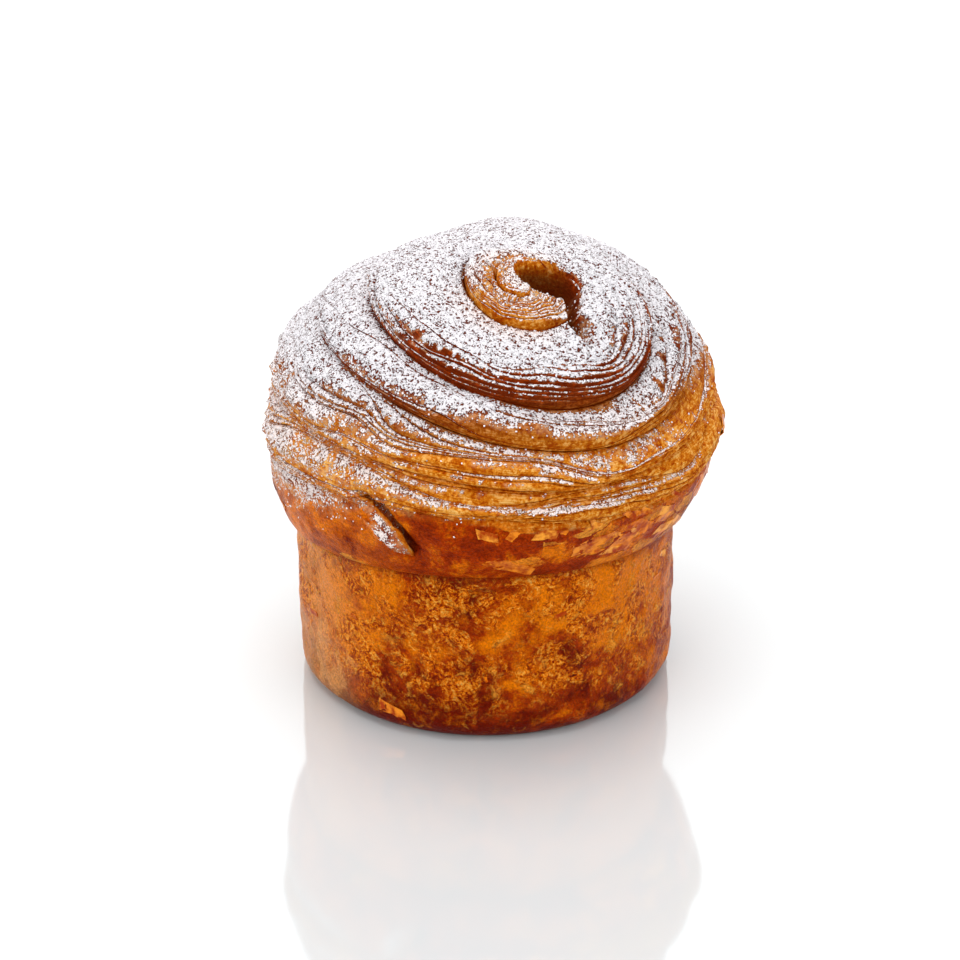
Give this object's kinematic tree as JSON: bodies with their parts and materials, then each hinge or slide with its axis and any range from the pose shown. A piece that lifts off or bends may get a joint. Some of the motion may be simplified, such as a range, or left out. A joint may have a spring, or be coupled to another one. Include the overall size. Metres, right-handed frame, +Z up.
{
  "type": "laminated brioche",
  "caption": "Laminated brioche roll: a straight round wall under a domed crown of dough wound in a spiral, with a lip where it rose over its ring.",
  "frame": {"origin": "middle of the flat underside that it stands on", "axes": "+Z up; -Y is the front, the side that the spiral's hollow leans towards; +X to the right"},
  "size_m": [0.0884, 0.0885, 0.0895],
  "materials": {
    "crust": "baked golden brown crust, dusted with sugar"
  },
  "bodies": {
    "root": {"brioche": "crust"}
  },
  "joints": []
}
